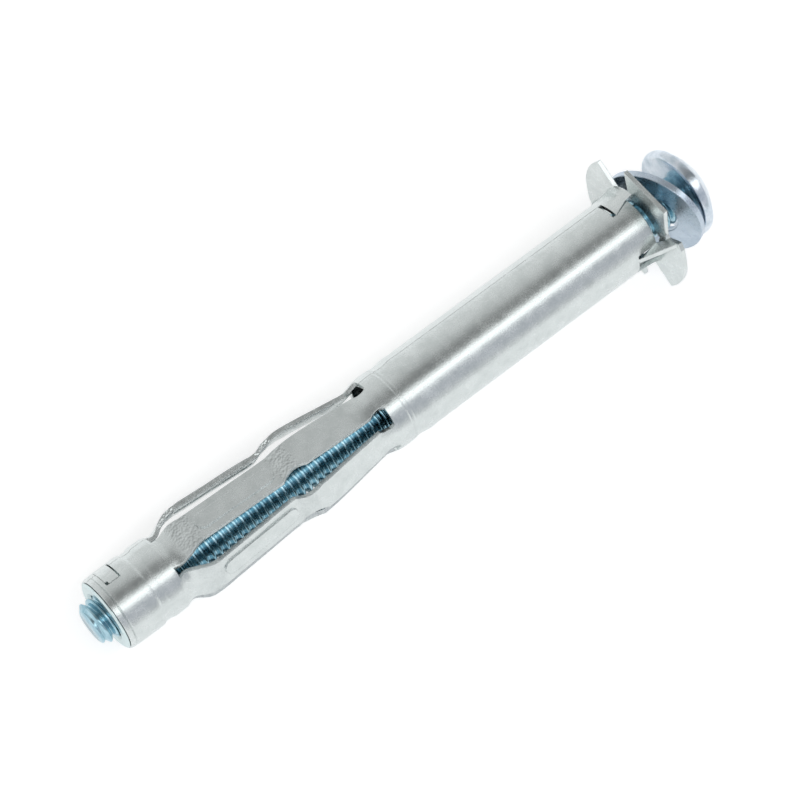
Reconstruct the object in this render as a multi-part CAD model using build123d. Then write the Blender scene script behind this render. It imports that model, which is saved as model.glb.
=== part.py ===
from build123d import *
import os
from math import atan2, cos, degrees, radians, sin, sqrt

# Hollow wall anchor, M4.  A rolled and stamped sheet sleeve with five folding legs, a nut
# swaged into its far end, a loose washer and a mushroom-head machine screw.
#
# Local frame while building: Z along the screw axis (tip negative, head positive),
# X through the middle of the front claw.  Angles run from +X towards +Y.
# place() turns the finished pieces into the resting pose.

# ---------------------------------------------------------------- sleeve sheet
WALL = 0.40              # sheet thickness
TUBE_R = 3.46            # outside radius of the plain tube
COLLAR_END = -30.08      # far end of the nut collar
LEG_START = -24.20       # slots start here (collar side)
LEG_END = -2.55          # slots end here (tube side)
TUBE_TOP = 23.60         # circumferential cut under the claws
LIP_TOP = 25.65          # top of the two wall lips
LIP_R = 3.42             # the lips lean in a little
SEAM_ANGLE = -60.0       # butt seam of the rolled sheet
SEAM_GAP = 0.04
LOCK_SEAM = -66.0        # seam of the collar, interrupted by the locking tab
LOCK_EDGE = -33.0        # free end of the locking tab
LOCK_LOW = -29.20        # the tab reaches along the collar from here
LOCK_HIGH = -27.84       # to here

# outside radius along the collar (z, r)
COLLAR_LINE = [
    (-30.08, 3.23), (-29.86, 3.32), (-29.66, 3.34), (-29.56, 3.24), (-29.46, 3.34),
    (-29.20, 3.36), (-26.90, 3.36), (-26.74, 3.33), (-26.52, 3.23), (-26.02, 3.22),
    (-25.80, 3.31), (-25.55, 3.35), (-24.90, 3.34), (-24.45, 3.32), (-24.20, 3.24),
]
# corner radius along the legs (z, r): pinch, lower knee, waist, middle knee, tube pinch
LEG_LINE = [
    (-24.20, 3.24), (-23.95, 3.14), (-23.65, 3.09), (-23.30, 3.20), (-22.84, 3.48),
    (-22.40, 3.70), (-22.00, 3.85), (-21.55, 3.95), (-21.10, 3.99), (-20.20, 3.95),
    (-18.80, 3.86), (-16.30, 3.72), (-13.80, 3.55), (-13.10, 3.53), (-12.65, 3.58),
    (-12.20, 3.74), (-11.70, 3.85), (-11.30, 3.91), (-10.60, 3.98), (-9.70, 3.93),
    (-8.80, 3.83), (-7.10, 3.61), (-5.40, 3.39), (-4.60, 3.28), (-4.10, 3.20),
    (-3.64, 3.17), (-3.20, 3.22), (-2.87, 3.30), (-2.55, 3.38),
]
# outside radius along the tube (z, r)
TUBE_LINE = [
    (-2.55, 3.38), (-2.20, 3.43), (-1.84, 3.44), (-1.20, 3.46), (-1.02, 3.38),
    (-0.86, 3.43), (-0.64, 3.37), (-0.29, 3.36), (0.10, 3.40), (0.45, 3.47),
    (0.80, 3.50), (1.15, 3.48), (1.43, 3.46), (23.60, 3.46),
]

# ---------------------------------------------------------------- legs
LEGS = 5
SLOT_ANGLE = 12.0        # first slot; the others follow every 72 degrees
LEG_HALF = 1.33          # half width of a leg
LEG_STOCK = 1.66         # half width of the stock each leg is trimmed from
BULGE_Z = -11.77         # round widening of the slots at the middle knee
BULGE_HALF = 0.99        # leg half width left at the widening
BULGE_R = 2.10
RIB_FROM = -20.8         # long embossed rib on the lower half of each leg
RIB_TO = -13.1
RIB_WIDTH = 1.40
RIB_HIGH = 0.14

# ---------------------------------------------------------------- claws
CLAW_Z = 26.15           # underside of the claw plates
CLAW_HOLE_R = 3.10
LIP_FROM = -30.0         # slanting side of a wall lip, and its straight side
LIP_TO = 44.0

# side claws (lead, outward): nearly round outline
SIDE_CLAW = [
    (1.15, 3.00), (1.20, 3.90), (1.47, 6.10), (0.70, 6.25), (-0.10, 6.30), (-0.80, 6.21),
    (-1.47, 6.05), (-2.47, 5.68), (-3.47, 4.95), (-4.35, 4.20), (-4.73, 3.55),
    (-3.30, 2.55), (-2.40, 2.20),
]
# front and back claws (lead, outward): straight outer edge
FRONT_CLAW = [
    (2.30, 2.60), (2.75, 3.42), (2.33, 3.62), (0.72, 6.10), (-4.00, 4.55), (-2.20, 2.50),
    (-1.60, 2.40),
]

# ---------------------------------------------------------------- nut, washer, screw
NUT_BORE_R = 2.00
NUT_TIP = -30.30
WASHER_R = 4.60
WASHER_HOLE_R = 2.30
WASHER_T = 0.60
WASHER_Z = 28.45
WASHER_SHIFT = (0.02, 0.07)
WASHER_LEAN_X = -8.0     # lean of the washer's normal towards X
WASHER_LEAN_Y = -18.5    # lean of the washer's normal towards Y
SCREW_R = 1.95           # M4 thread outside radius, drawn smooth
SCREW_TIP = -31.65
HEAD_Z = 30.55           # underside of the head
HEAD_R = 4.21
HEAD_RIM = 1.05
HEAD_TALL = 2.60
RECESS_DEEP = 1.70
RECESS_R = 2.15
RECESS_W = 0.80

# ---------------------------------------------------------------- resting pose
REST_ROLL = 17.9         # the back claw's straight edge lies on the ground
REST_PITCH = 2.00        # the axis rises towards the head
REST_SHIFT = (-0.7087, 0.0, 4.6683)


def ring(line, seam_gap=0.0):
    """Turned shell with the given outside line, open along the seam if it has a gap."""
    outer = [(r, 0, z) for z, r in line]
    inner = [(r - WALL, 0, z) for z, r in reversed(line)]
    face = make_face(Polyline(*outer, *inner, close=True))
    gap = degrees(seam_gap / TUBE_R)
    shell = revolve(face, axis=Axis.Z, revolution_arc=360 - gap)
    return shell.rotate(Axis.Z, SEAM_ANGLE + gap / 2)


def turned(points):
    """Solid of revolution from a closed (r, z) outline."""
    face = make_face(Polyline(*[(r, 0, z) for r, z in points], close=True))
    return revolve(face, axis=Axis.Z, revolution_arc=360)


def sector(from_deg, to_deg, z0, z1, r0=2.0, r1=8.0):
    """Wedge-shaped block around the axis."""
    steps = 8
    span = to_deg - from_deg
    angles = [radians(from_deg + span * i / steps) for i in range(steps + 1)]
    far = [(r1 * cos(a), r1 * sin(a), z0) for a in angles]
    near = [(r0 * cos(a), r0 * sin(a), z0) for a in reversed(angles)]
    return extrude(make_face(Polyline(*far, *near, close=True)), z1 - z0, dir=(0, 0, 1))


def flatness(z):
    """0 where a leg is still round, 1 where it is a flat strip."""
    rise = min(max((z + 24.20) / 2.2, 0.0), 1.0)
    fall = min(max((-2.55 - z) / 3.4, 0.0), 1.0)
    low = min(rise, fall)
    return low * low * (3 - 2 * low)


def leg_edge(radius, flat, y):
    """Distance from the axis of the leg's outside at sideways position y."""
    strip = sqrt(radius * radius - LEG_HALF * LEG_HALF)
    middle = radius * (1 - flat) + strip * flat
    bend = (1 - flat) / radius
    if bend < 1e-4:
        return middle
    return middle - (1 - sqrt(1 - (bend * y) ** 2)) / bend


def leg_section(z, radius, raise_out, raise_in, slope):
    """Cross-section of one leg: the outside curve and the inside curve."""
    flat = flatness(z)
    wall = WALL / cos(slope)
    y = LEG_STOCK
    out_x = [leg_edge(radius, flat, v) + raise_out for v in (-y, 0, y)]
    in_x = [leg_edge(radius, flat, v) - wall + raise_in for v in (-y, 0, y)]
    drop = (out_x[1] - out_x[0]) * (radius - wall) / radius
    corners_out = [(out_x[0], -y, z), (out_x[1], 0, z), (out_x[2], y, z)]
    corners_in = [(in_x[1] - drop, -y, z), (in_x[1], 0, z), (in_x[1] - drop, y, z)]
    edges = []
    for points in (corners_out, corners_in):
        if out_x[1] - out_x[0] < 0.002:
            edges.append(Line(points[0], points[2]))
        else:
            edges.append(ThreePointArc(*points))
    edges.append(Line(corners_out[0], corners_in[0]))
    edges.append(Line(corners_out[2], corners_in[2]))
    return make_face(edges)


def leg_loft(line, raise_out=0.0, raise_in=0.0):
    """Bent strip following the leg line."""
    sections = []
    for i, (z, r) in enumerate(line):
        z0, r0 = line[max(i - 1, 0)]
        z1, r1 = line[min(i + 1, len(line) - 1)]
        slope = atan2(abs(r1 - r0), z1 - z0)
        if i in (0, len(line) - 1):
            slope = 0.0
        sections.append(leg_section(z, r, raise_out, raise_in, slope))
    return loft(sections)


def leg_outline(round_left, round_right):
    """Blank outline of one leg, pushed through the wall (sideways y, along z)."""
    side = [
        (-24.20, 1.45), (-22.95, 1.56), (-22.45, 1.58), (-22.00, 1.49), (-21.50, 1.37),
        (-20.90, 1.33), (-8.00, 1.35), (-5.00, 1.25), (-3.85, 1.20), (-3.65, 1.08),
        (-3.40, 1.03), (-2.95, 1.03), (-2.70, 1.10), (-2.55, 1.26),
    ]
    right = [(2.0, y, z) for z, y in side]
    left = [(2.0, -y, z) for z, y in reversed(side)]
    block = extrude(make_face(Polyline(*right, *left, close=True)), 3.5, dir=(1, 0, 0))
    for wanted, sign in ((round_left, -1), (round_right, 1)):
        if wanted:
            centre = (2.0, sign * (BULGE_HALF + BULGE_R), BULGE_Z)
            disc = Plane(origin=centre, z_dir=(1, 0, 0)) * Circle(BULGE_R)
            block -= extrude(disc, 3.5, dir=(1, 0, 0))
    return block


def rib_outline(width):
    """Stadium-shaped column for the embossed rib."""
    middle = (RIB_FROM + RIB_TO) / 2
    plane = Plane(origin=(2.0, 0, middle), x_dir=(0, 0, 1), z_dir=(1, 0, 0))
    return extrude(plane * SlotOverall(RIB_TO - RIB_FROM, width), 3.5, dir=(1, 0, 0))


def make_legs():
    """Five folding legs, still inside their slots."""
    stock = leg_loft(LEG_LINE)
    rib_line = [p for p in LEG_LINE if -21.2 < p[0] < -12.0]
    rib_add = leg_loft(rib_line, RIB_HIGH, 0.1) & rib_outline(RIB_WIDTH)
    rib_cut = leg_loft(rib_line, RIB_HIGH - WALL, -0.1) & rib_outline(RIB_WIDTH - 0.5)
    legs = []
    for i in range(LEGS):
        beside_seam_low = i == 4
        beside_seam_high = i == 3
        outline = leg_outline(not beside_seam_low, not beside_seam_high)
        leg = (stock & outline) + rib_add - rib_cut
        legs.append(leg.rotate(Axis.Z, SLOT_ANGLE + 36 + 72 * i))
    return legs


def claw(points, facing):
    """Flat claw plate; facing is the angle of its outward direction."""
    turn = radians(facing)
    flat = []
    for lead, out in points:
        x = out * cos(turn) - lead * sin(turn)
        y = out * sin(turn) + lead * cos(turn)
        flat.append((x, y, CLAW_Z))
    return extrude(make_face(Polyline(*flat, close=True)), WALL, dir=(0, 0, 1))


def lip_side(side, gap, top):
    """Block on the lip's side of the slanting cut between a lip and the tab next to it."""
    outline = [(0.24 - gap, TUBE_TOP - 0.2), (0.24 - gap, 24.05), (-0.28 - gap, 25.48),
               (-0.28 - gap, top), (2.6, top), (2.6, TUBE_TOP - 0.2)]
    block = extrude(make_face(Polyline(*[(2.0, y, z) for y, z in outline], close=True)), 3.0,
                    dir=(1, 0, 0))
    return block.rotate(Axis.Z, side + LIP_FROM)


def wall_lip(side):
    """Free end of the tube wall beside a front or back claw."""
    wall = ring([(TUBE_TOP, TUBE_R), (LIP_TOP, LIP_R)])
    return wall & (lip_side(side, 0, LIP_TOP) + sector(side - 4, side + LIP_TO, TUBE_TOP, LIP_TOP))


def flared_tab(side):
    """Wall tab that climbs from the tube into the claws; free over half its width."""
    line = [(TUBE_TOP - 0.05, 3.46), (23.9, 3.47), (24.6, 3.50), (25.5, 3.60), (CLAW_Z + 0.1, 3.80)]
    tab = ring(line) & sector(side - 92, side - 22, TUBE_TOP - 0.05, CLAW_Z + 0.1)
    tab -= lip_side(side, 0.04, CLAW_Z + 0.4)
    return tab - sector(side - 60, side - 16, TUBE_TOP - 0.2, TUBE_TOP + 0.36)


def gusset(side):
    """Slanting fold between the tube wall and the trailing edge of a side claw."""
    corners = [(2.24, 2.55, 23.45), (2.57, 2.30, 25.60), (3.20, 2.55, 26.15), (4.50, 3.48, 26.30)]
    base = Vector(*corners[1])
    normal = Vector(-0.56, 0.81, 0.20).normalized()
    flat = []
    for corner in corners:
        point = Vector(*corner)
        flat.append(point - normal * (point - base).dot(normal))
    face = make_face(Polyline(*flat, close=True))
    block = extrude(face, WALL, dir=tuple(normal))
    return block.rotate(Axis.Z, side)


def make_collar():
    """Nut collar, closed by a tab of one sheet edge that locks into a notch in the other."""
    collar = ring(COLLAR_LINE)
    seam_from, seam_to = LOCK_SEAM, LOCK_SEAM + 0.6
    collar -= sector(seam_from, seam_to, LOCK_HIGH, LEG_START + 0.2)
    collar -= sector(seam_from, seam_to, COLLAR_END - 0.2, LOCK_LOW)
    collar -= sector(LOCK_SEAM - 7, LOCK_EDGE, LOCK_HIGH - 0.14, LOCK_HIGH)
    collar -= sector(LOCK_SEAM - 7, LOCK_EDGE, LOCK_LOW, LOCK_LOW + 0.04)
    collar -= sector(LOCK_EDGE - 0.8, LOCK_EDGE, LOCK_LOW, LOCK_HIGH)
    return collar - sector(LOCK_EDGE - 6, LOCK_EDGE, LOCK_LOW, LOCK_LOW + 0.26)


def make_sleeve():
    """Rolled sleeve in one piece: collar, legs, tube, lips, claws."""
    body = make_collar() + ring(TUBE_LINE, SEAM_GAP)
    for leg in make_legs():
        body += leg
    for side in (0, 180):
        body += wall_lip(side)
        body += flared_tab(side)
        body += gusset(side)
    plates = claw(FRONT_CLAW, 0)
    plates += claw(FRONT_CLAW, 180)
    plates += claw(SIDE_CLAW, 90)
    plates += claw(SIDE_CLAW, -90)
    hole = Pos(0, 0, CLAW_Z) * Cylinder(CLAW_HOLE_R, 3 * WALL)
    body += plates - hole
    return body


def make_nut():
    """Nut held in the swaged collar, its rim lying on the collar's end."""
    body = turned([
        (NUT_BORE_R, -26.80), (2.75, -26.80), (2.90, -26.95), (2.90, -29.10), (2.78, -29.32),
        (2.78, -30.13), (3.12, -30.13), (3.10, -30.18), (2.85, NUT_TIP), (2.22, NUT_TIP),
        (NUT_BORE_R, NUT_TIP + 0.22),
    ])
    return body


def make_washer():
    """Plain washer leaning on the screw."""
    disc = Cylinder(WASHER_R, WASHER_T) - Cylinder(WASHER_HOLE_R, 2 * WASHER_T)
    disc = chamfer(disc.edges(), 0.04)
    lean = Vector(sin(radians(WASHER_LEAN_X)), sin(radians(WASHER_LEAN_Y)), 0)
    up = sqrt(1 - lean.length ** 2)
    seat = Plane(origin=(*WASHER_SHIFT, WASHER_Z), z_dir=(lean.X, lean.Y, up))
    return seat * disc


def make_screw():
    """Mushroom-head machine screw with a cross recess."""
    shank_top = HEAD_Z + 0.5
    shank = Pos(0, 0, (SCREW_TIP + shank_top) / 2) * Cylinder(SCREW_R, shank_top - SCREW_TIP)
    shank = chamfer(shank.edges().sort_by(Axis.Z)[0], 0.25)
    top = HEAD_Z + HEAD_TALL
    rim = HEAD_Z + HEAD_RIM
    line = [
        Line((0, 0, HEAD_Z), (HEAD_R - 0.45, 0, HEAD_Z)),
        ThreePointArc((HEAD_R - 0.45, 0, HEAD_Z), (HEAD_R, 0, HEAD_Z + 0.5), (HEAD_R - 0.34, 0, rim)),
        ThreePointArc((HEAD_R - 0.34, 0, rim), (2.30, 0, top - 0.52), (0, 0, top)),
        Line((0, 0, top), (0, 0, HEAD_Z)),
    ]
    head = revolve(make_face(line), axis=Axis.Z, revolution_arc=360)
    wing_z = top - RECESS_DEEP / 2 + 0.2
    wing = Pos(0, 0, wing_z) * Box(2 * RECESS_R, RECESS_W, RECESS_DEEP + 0.4)
    recess = wing + wing.rotate(Axis.Z, 90)
    return shank + (head - recess)


def place(piece):
    """Turn a finished piece from the building frame into the resting pose."""
    roll = radians(REST_ROLL)
    pose = Plane(
        origin=(0, 0, 0),
        x_dir=(0, -sin(roll), cos(roll)),
        z_dir=(1, 0, 0),
    )
    turned_piece = pose.location * piece
    turned_piece = turned_piece.rotate(Axis.Y, -REST_PITCH)
    return Pos(*REST_SHIFT) * turned_piece


os.makedirs("parts", exist_ok=True)
for name, piece in (
    ("sleeve", make_sleeve()),
    ("nut", make_nut()),
    ("washer", make_washer()),
    ("screw", make_screw()),
):
    placed = place(piece)
    box = placed.bounding_box()
    print(name, "solids", len(placed.solids()), "volume", round(placed.volume, 2), box.min, box.max)
    export_step(placed, os.path.join("parts", name + ".step"))
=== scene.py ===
import math

import bmesh
import bpy
from mathutils import Matrix, Vector


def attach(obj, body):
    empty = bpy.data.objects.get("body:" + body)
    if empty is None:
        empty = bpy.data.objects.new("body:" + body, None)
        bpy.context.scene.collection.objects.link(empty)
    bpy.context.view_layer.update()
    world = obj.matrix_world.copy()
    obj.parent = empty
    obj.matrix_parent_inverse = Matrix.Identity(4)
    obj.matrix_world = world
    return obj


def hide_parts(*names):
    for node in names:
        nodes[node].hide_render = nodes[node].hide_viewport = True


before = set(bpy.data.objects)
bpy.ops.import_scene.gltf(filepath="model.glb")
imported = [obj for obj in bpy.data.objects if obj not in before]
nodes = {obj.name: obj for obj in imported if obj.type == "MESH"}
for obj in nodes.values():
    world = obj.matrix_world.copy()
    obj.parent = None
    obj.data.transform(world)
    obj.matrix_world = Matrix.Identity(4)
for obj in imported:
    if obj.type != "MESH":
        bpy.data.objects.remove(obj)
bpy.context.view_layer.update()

# Resting pose of the anchor: the same three numbers as in the CAD source.
# Local frame: X through the front claw, Y sideways, Z along the screw towards its head, in mm.
ROLL = math.radians(17.9)
PITCH = math.radians(2.0)
SHIFT = Vector((-0.7087, 0.0, 4.6683))

# Screw, in millimetres along the local Z axis.
SCREW_TIP = -31.65
HEAD_Z = 30.55           # underside of the head
SHANK_OVERLAP = 0.3      # how far the shank runs up into the head
THREAD_R = 1.94
THREAD_ROOT = 1.54
THREAD_PITCH = 0.70
THREAD_FOOT = 0.92       # a flank ends this far from the crest, in half pitches
THREAD_FLANK = 0.72      # and it is this wide
THREAD_RUN_IN = 0.35     # length over which the thread grows at the tip
THREAD_FADE = 0.8        # and over which it dies away under the head
TIP_BEVEL = 0.06
HEAD_R = 4.205
HEAD_TALL = 2.59
HEAD_RIM = 1.05          # height of the rim where the dome starts
UNDER_ROUND = 0.45       # rounding between the underside and the rim
UNDER_RISE = 0.5
RIM_ROUND = 0.34         # rounding between the rim and the dome
RIM_RISE = 0.55
RECESS_DEEP = 1.7
RECESS_TURN = 12         # degrees


def turn(a, b, z):
    """Direction or offset in the local frame, turned into the shared frame."""
    side = -(math.sin(ROLL) * a + math.cos(ROLL) * b)
    up = math.cos(ROLL) * a - math.sin(ROLL) * b
    return Vector((
        z * math.cos(PITCH) - up * math.sin(PITCH),
        side,
        z * math.sin(PITCH) + up * math.cos(PITCH),
    ))


def place(a, b, z):
    """Point of the local frame in millimetres, as a shared-frame point in metres."""
    return (turn(a, b, z) + SHIFT) / 1000


FRONT = turn(1, 0, 0)
SIDE = turn(0, 1, 0)
AXIS = turn(0, 0, 1)


# ---------------------------------------------------------------- materials
class Nodes:
    """Short way to add shader nodes and link them."""

    def __init__(self, tree):
        self.tree = tree
        tree.nodes.clear()

    def add(self, kind, inputs=None, **settings):
        node = self.tree.nodes.new(kind)
        for key, value in settings.items():
            setattr(node, key, value)
        for key, value in (inputs or {}).items():
            socket = node.inputs[key]
            if isinstance(value, bpy.types.NodeSocket):
                self.tree.links.new(value, socket)
            else:
                socket.default_value = value
        return node

    def math(self, operation, *values):
        node = self.tree.nodes.new("ShaderNodeMath")
        node.operation = operation
        for i, value in enumerate(values):
            if isinstance(value, bpy.types.NodeSocket):
                self.tree.links.new(value, node.inputs[i])
            else:
                node.inputs[i].default_value = value
        return node.outputs[0]

    def ramp(self, factor, stops):
        node = self.add("ShaderNodeValToRGB", {"Fac": factor})
        ramp = node.color_ramp
        while len(ramp.elements) < len(stops):
            ramp.elements.new(0.5)
        for element, (at, colour) in zip(ramp.elements, stops):
            element.position = at
            element.color = (*colour, 1)
        return node.outputs["Color"]

    def band(self, value, low, high, soft):
        """1 between low and high, fading to 0 over soft."""
        rise = self.add("ShaderNodeMapRange", {
            "Value": value, "From Min": low - soft, "From Max": low + soft,
        }, interpolation_type="SMOOTHSTEP").outputs[0]
        fall = self.add("ShaderNodeMapRange", {
            "Value": value, "From Min": high + soft, "From Max": high - soft,
        }, interpolation_type="SMOOTHSTEP").outputs[0]
        return self.math("MULTIPLY", rise, fall)


SCRATCH = 0.25


def metal(name, light, dark, rough, grain=0.35, knees=False, mottle=0.5, edge=0.05):
    """Plated steel: two tones mottled together, fine grain, scratches, soft edges."""
    material = bpy.data.materials.new(name)
    material.use_nodes = True
    n = Nodes(material.node_tree)
    here = n.add("ShaderNodeTexCoord").outputs["Object"]
    along = n.add("ShaderNodeVectorMath", {0: here, 1: AXIS}, operation="DOT_PRODUCT")
    axial = n.math("MULTIPLY_ADD", along.outputs["Value"], 1000.0, -SHIFT.dot(AXIS))

    cloud = n.add("ShaderNodeTexNoise", {
        "Vector": here, "Scale": 900.0, "Detail": 5.0, "Roughness": 0.6,
    }).outputs["Fac"]
    speck = n.add("ShaderNodeTexNoise", {
        "Vector": here, "Scale": 9000.0, "Detail": 3.0, "Roughness": 0.7,
    }).outputs["Fac"]
    drawn = n.add("ShaderNodeMapping", {"Vector": here, "Scale": (300.0, 9000.0, 9000.0)})
    lines = n.add("ShaderNodeTexNoise", {
        "Vector": drawn.outputs[0], "Scale": 1.0, "Detail": 4.0,
    }).outputs["Fac"]

    blend = n.math("MULTIPLY_ADD", cloud, mottle, 0.5 - mottle / 2)
    blend = n.math("ADD", blend, n.math("MULTIPLY", n.math("SUBTRACT", speck, 0.5), 0.35))
    tone = n.ramp(blend, [(0.30, dark), (0.62, light)])

    roughness = n.math("MULTIPLY_ADD", n.math("SUBTRACT", cloud, 0.5), 0.30, rough)
    roughness = n.math("ADD", roughness, n.math("MULTIPLY", n.math("SUBTRACT", speck, 0.5), 0.20))
    height = n.math("MULTIPLY", speck, grain)
    height = n.math("ADD", height, n.math("MULTIPLY", lines, SCRATCH))
    if knees:
        patch = n.math("ADD", n.band(axial, -22.9, -20.9, 0.25), n.band(axial, -12.9, -11.2, 0.2))
        dimples = n.add("ShaderNodeTexVoronoi", {"Vector": here, "Scale": 4600.0}).outputs["Distance"]
        pits = n.math("MULTIPLY", n.math("MULTIPLY", patch, dimples), 5.0)
        height = n.math("ADD", height, pits)
        roughness = n.math("ADD", roughness, n.math("MULTIPLY", patch, 0.10))
    rounded = n.add("ShaderNodeBevel", {"Radius": edge / 1000}, samples=4).outputs[0]
    bump = n.add("ShaderNodeBump", {
        "Strength": 0.35, "Distance": 0.00003, "Height": height, "Normal": rounded,
    }).outputs[0]
    shader = n.add("ShaderNodeBsdfPrincipled", {
        "Base Color": tone, "Metallic": 1.0, "Roughness": roughness, "Normal": bump,
    })
    n.add("ShaderNodeOutputMaterial", {"Surface": shader.outputs[0]})
    return material


sleeve_metal = metal(
    "sleeve_zinc", (0.71, 0.755, 0.75), (0.52, 0.565, 0.56), 0.25, grain=0.75, knees=True, edge=0.11,
)
nut_metal = metal("nut_zinc", (0.68, 0.79, 0.79), (0.50, 0.61, 0.62), 0.32)
washer_metal = metal("washer_zinc", (0.56, 0.64, 0.72), (0.36, 0.44, 0.52), 0.28, edge=0.08)
screw_metal = metal("screw_zinc", (0.42, 0.62, 0.70), (0.16, 0.32, 0.40), 0.19, mottle=0.9, edge=0.03)
head_metal = metal("head_zinc", (0.70, 0.76, 0.82), (0.44, 0.53, 0.60), 0.20, mottle=0.9, edge=0.04)


def dress(obj, material):
    """Give an object its one material."""
    obj.data.materials.clear()
    obj.data.materials.append(material)


dress(nodes["sleeve"], sleeve_metal)
dress(nodes["nut"], nut_metal)
dress(nodes["washer"], washer_metal)


# ---------------------------------------------------------------- threaded screw
def vertex_at(mesh, radius, angle, z):
    """New vertex at a radius and angle round the screw's axis."""
    return mesh.verts.new(place(radius * math.cos(angle), radius * math.sin(angle), z))


def bridge(mesh, low, high):
    """Closed band of quads between two loops of vertices."""
    count = len(low)
    for j in range(count):
        k = (j + 1) % count
        mesh.faces.new((low[j], low[k], high[k], high[j]))


def thread_depth(phase):
    """0 in the root, 1 on the crest, over one pitch."""
    away = abs(phase - 0.5) * 2
    return min(max((THREAD_FOOT - away) / THREAD_FLANK, 0.0), 1.0)


def build_shank(mesh):
    """Right-hand thread as a tube of rings whose radius follows the helix."""
    around = 40
    per_pitch = 12
    step = THREAD_PITCH / per_pitch
    count = int((HEAD_Z + SHANK_OVERLAP - SCREW_TIP) / step) + 1
    rings = []
    for i in range(count):
        z = SCREW_TIP + i * step
        run_in = min((z - SCREW_TIP) / THREAD_RUN_IN, 1.0)
        fade = min(max((HEAD_Z - z) / THREAD_FADE, 0.0), 1.0)
        ring = []
        for j in range(around):
            angle = 2 * math.pi * j / around
            depth = thread_depth((z / THREAD_PITCH - j / around) % 1.0)
            radius = THREAD_ROOT + (THREAD_R - THREAD_ROOT) * depth * run_in * fade
            if i == 0:
                radius = THREAD_ROOT - TIP_BEVEL
            ring.append(vertex_at(mesh, radius, angle, z))
        rings.append(ring)
    for low, high in zip(rings, rings[1:]):
        bridge(mesh, low, high)
    mesh.faces.new(list(reversed(rings[0])))
    mesh.faces.new(rings[-1])


def head_profile():
    """Half outline of the mushroom head, from the underside to the top."""
    flat = HEAD_R - UNDER_ROUND
    line = [(THREAD_ROOT - 0.3, HEAD_Z), (1.9, HEAD_Z), (3.0, HEAD_Z), (flat, HEAD_Z)]
    middle = HEAD_Z + UNDER_RISE
    for i in range(1, 7):
        swing = math.radians(-90 + 15 * i)
        line.append((flat + UNDER_ROUND * math.cos(swing), middle + UNDER_RISE * math.sin(swing)))
    edge = HEAD_R - RIM_ROUND
    for i in range(1, 7):
        swing = math.radians(15 * i)
        line.append((edge + RIM_ROUND * math.cos(swing), middle + RIM_RISE * math.sin(swing)))
    rise = HEAD_TALL - HEAD_RIM
    sphere = (edge * edge + rise * rise) / (2 * rise)
    for i in range(1, 17):
        r = edge * (1 - i / 16)
        line.append((r, HEAD_Z + HEAD_RIM + math.sqrt(sphere * sphere - r * r) - (sphere - rise)))
    return line


def build_head(mesh):
    """Mushroom head, turned from its half outline."""
    around = 96
    line = head_profile()
    rings = [
        [vertex_at(mesh, r, 2 * math.pi * j / around, z) for j in range(around)]
        for r, z in line[:-1]
    ]
    for low, high in zip(rings, rings[1:]):
        bridge(mesh, low, high)
    top = mesh.verts.new(place(0, 0, line[-1][1]))
    for j in range(around):
        mesh.faces.new((rings[-1][j], rings[-1][(j + 1) % around], top))
    mesh.faces.new(list(reversed(rings[0])))


def build_recess(mesh):
    """Tapered cross, used to cut the driver recess."""
    top = HEAD_Z + HEAD_TALL + 0.3
    floor_z = HEAD_Z + HEAD_TALL - RECESS_DEEP
    levels = [(top, 2.25, 0.48), (floor_z + 0.35, 1.15, 0.36), (floor_z, 0.45, 0.20)]
    loops = []
    for z, reach, half in levels:
        loop = []
        for quarter in range(4):
            spin = math.radians(90 * quarter + RECESS_TURN)
            for x, y in ((half, -half), (reach, -half), (reach, half)):
                loop.append((
                    x * math.cos(spin) - y * math.sin(spin),
                    x * math.sin(spin) + y * math.cos(spin),
                ))
        loop.sort(key=lambda point: math.atan2(point[1], point[0]))
        loops.append([mesh.verts.new(place(a, b, z)) for a, b in loop])
    for high, low in zip(loops, loops[1:]):
        bridge(mesh, low, high)
    mesh.faces.new(loops[0])
    mesh.faces.new(list(reversed(loops[-1])))


def solid(name, builder, smooth=40):
    """Object made by a builder, with edges sharper than smooth degrees kept sharp."""
    mesh = bmesh.new()
    builder(mesh)
    bmesh.ops.recalc_face_normals(mesh, faces=mesh.faces)
    data = bpy.data.meshes.new(name)
    mesh.to_mesh(data)
    mesh.free()
    obj = bpy.data.objects.new(name, data)
    bpy.context.scene.collection.objects.link(obj)
    data.shade_smooth()
    data.set_sharp_from_angle(angle=math.radians(smooth))
    return obj


shank = solid("screw_shank", build_shank, 75)
head = solid("screw_head", build_head)
cutter = solid("recess_cutter", build_recess)
cut = head.modifiers.new("recess", "BOOLEAN")
cut.object = cutter
cut.solver = "EXACT"
bpy.context.view_layer.update()
depsgraph = bpy.context.evaluated_depsgraph_get()
cut_mesh = bpy.data.meshes.new_from_object(head.evaluated_get(depsgraph))
head.modifiers.clear()
head.data = cut_mesh
bpy.data.objects.remove(cutter)
for piece, material in ((shank, screw_metal), (head, head_metal)):
    dress(piece, material)
    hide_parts("screw")
    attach(piece, "screw")


# ---------------------------------------------------------------- floor, light, camera
FLOOR_GREY = 0.80
FLOOR_GLOW = 0.50
FLOOR_HALF = 2
SKY_STRENGTH = 2.0
LENS = 124.8
SENSOR = 36
EYE_AWAY = 0.2275        # metres from the aimed point to the eye

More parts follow.
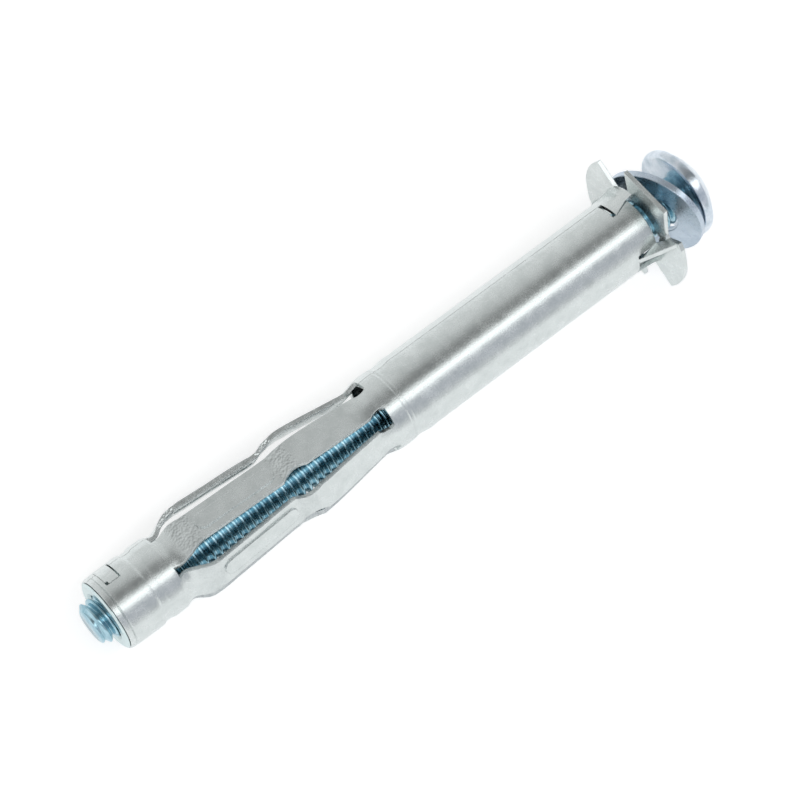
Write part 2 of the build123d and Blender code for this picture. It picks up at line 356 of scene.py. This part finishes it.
floor_mesh = bpy.data.meshes.new("floor")
corners = [(-1, -1), (1, -1), (1, 1), (-1, 1)]
floor_points = [(FLOOR_HALF * x, FLOOR_HALF * y, 0) for x, y in corners]
floor_mesh.from_pydata(floor_points, [], [(0, 1, 2, 3)])
floor = bpy.data.objects.new("floor", floor_mesh)
bpy.context.scene.collection.objects.link(floor)
paper = bpy.data.materials.new("white_floor")
paper.use_nodes = True
n = Nodes(paper.node_tree)
path = n.add("ShaderNodeLightPath").outputs
seen = n.math("MAXIMUM", path["Is Camera Ray"], path["Is Glossy Ray"])
matt = n.add("ShaderNodeBsdfDiffuse", {"Color": (FLOOR_GREY, FLOOR_GREY, FLOOR_GREY, 1)})
glow_strength = n.math("MULTIPLY", seen, FLOOR_GLOW)
glow = n.add("ShaderNodeEmission", {"Color": (1, 1, 1, 1), "Strength": glow_strength})
both = n.add("ShaderNodeAddShader", {0: matt.outputs[0], 1: glow.outputs[0]})
n.add("ShaderNodeOutputMaterial", {"Surface": both.outputs[0]})
floor_mesh.materials.append(paper)

world = bpy.data.worlds.new("studio")
bpy.context.scene.world = world
world.use_nodes = True
n = Nodes(world.node_tree)
way = n.add("ShaderNodeTexCoord").outputs["Generated"]
to_front = n.add("ShaderNodeVectorMath", {0: way, 1: FRONT}, operation="DOT_PRODUCT").outputs["Value"]
to_side = n.add("ShaderNodeVectorMath", {0: way, 1: SIDE}, operation="DOT_PRODUCT").outputs["Value"]
swing = n.math("ARCTAN2", to_side, to_front)
level = n.math("MULTIPLY_ADD", swing, 1 / (2 * math.pi), 0.5)


def grey(value, blue=0.0):
    """Grey of one brightness, with blue taking some of its red and green away."""
    return (value * (1 - blue), value * (1 - blue * 0.8), value)


def at(degrees):
    """Place on the sky ramp of an angle round the anchor's axis, 0 straight in front."""
    return degrees / 360 + 0.5


sky = n.ramp(level, [
    (at(-150), grey(0.42)),
    (at(-95), grey(0.45)),
    (at(-70), grey(0.40)),
    (at(-45), grey(0.31)),
    (at(-28), grey(0.15)),
    (at(-10), grey(0.15)),
    (at(-2), grey(0.40)),
    (at(4), grey(1.0)),
    (at(14), grey(1.0)),
    (at(22), grey(0.35, 0.08)),
    (at(50), grey(0.32, 0.10)),
    (at(75), grey(0.42)),
    (at(120), grey(0.45)),
])
back = n.add("ShaderNodeBackground", {"Color": sky, "Strength": SKY_STRENGTH})
n.add("ShaderNodeOutputWorld", {"Surface": back.outputs[0]})

RIGHT = turn(0.2463, 0.5952, 0.7650)
UP = turn(0.1824, -0.8036, 0.5666)
BACK = turn(0.9520, 0.0, -0.3064)
lens = bpy.data.cameras.new("camera")
lens.sensor_width = SENSOR
lens.lens = LENS
lens.clip_start = 0.01
lens.clip_end = 10
camera = bpy.data.objects.new("camera", lens)
bpy.context.scene.collection.objects.link(camera)
pose = Matrix.Identity(4)
for row in range(3):
    pose[row][0] = RIGHT[row]
    pose[row][1] = UP[row]
    pose[row][2] = BACK[row]
pose.translation = place(0, 0.14, 0) + BACK * EYE_AWAY
camera.matrix_world = pose
# ---------------------------------------------------------------- scene camera and view transform
scene = bpy.context.scene
scene.camera = camera
scene.view_settings.view_transform = "Standard"
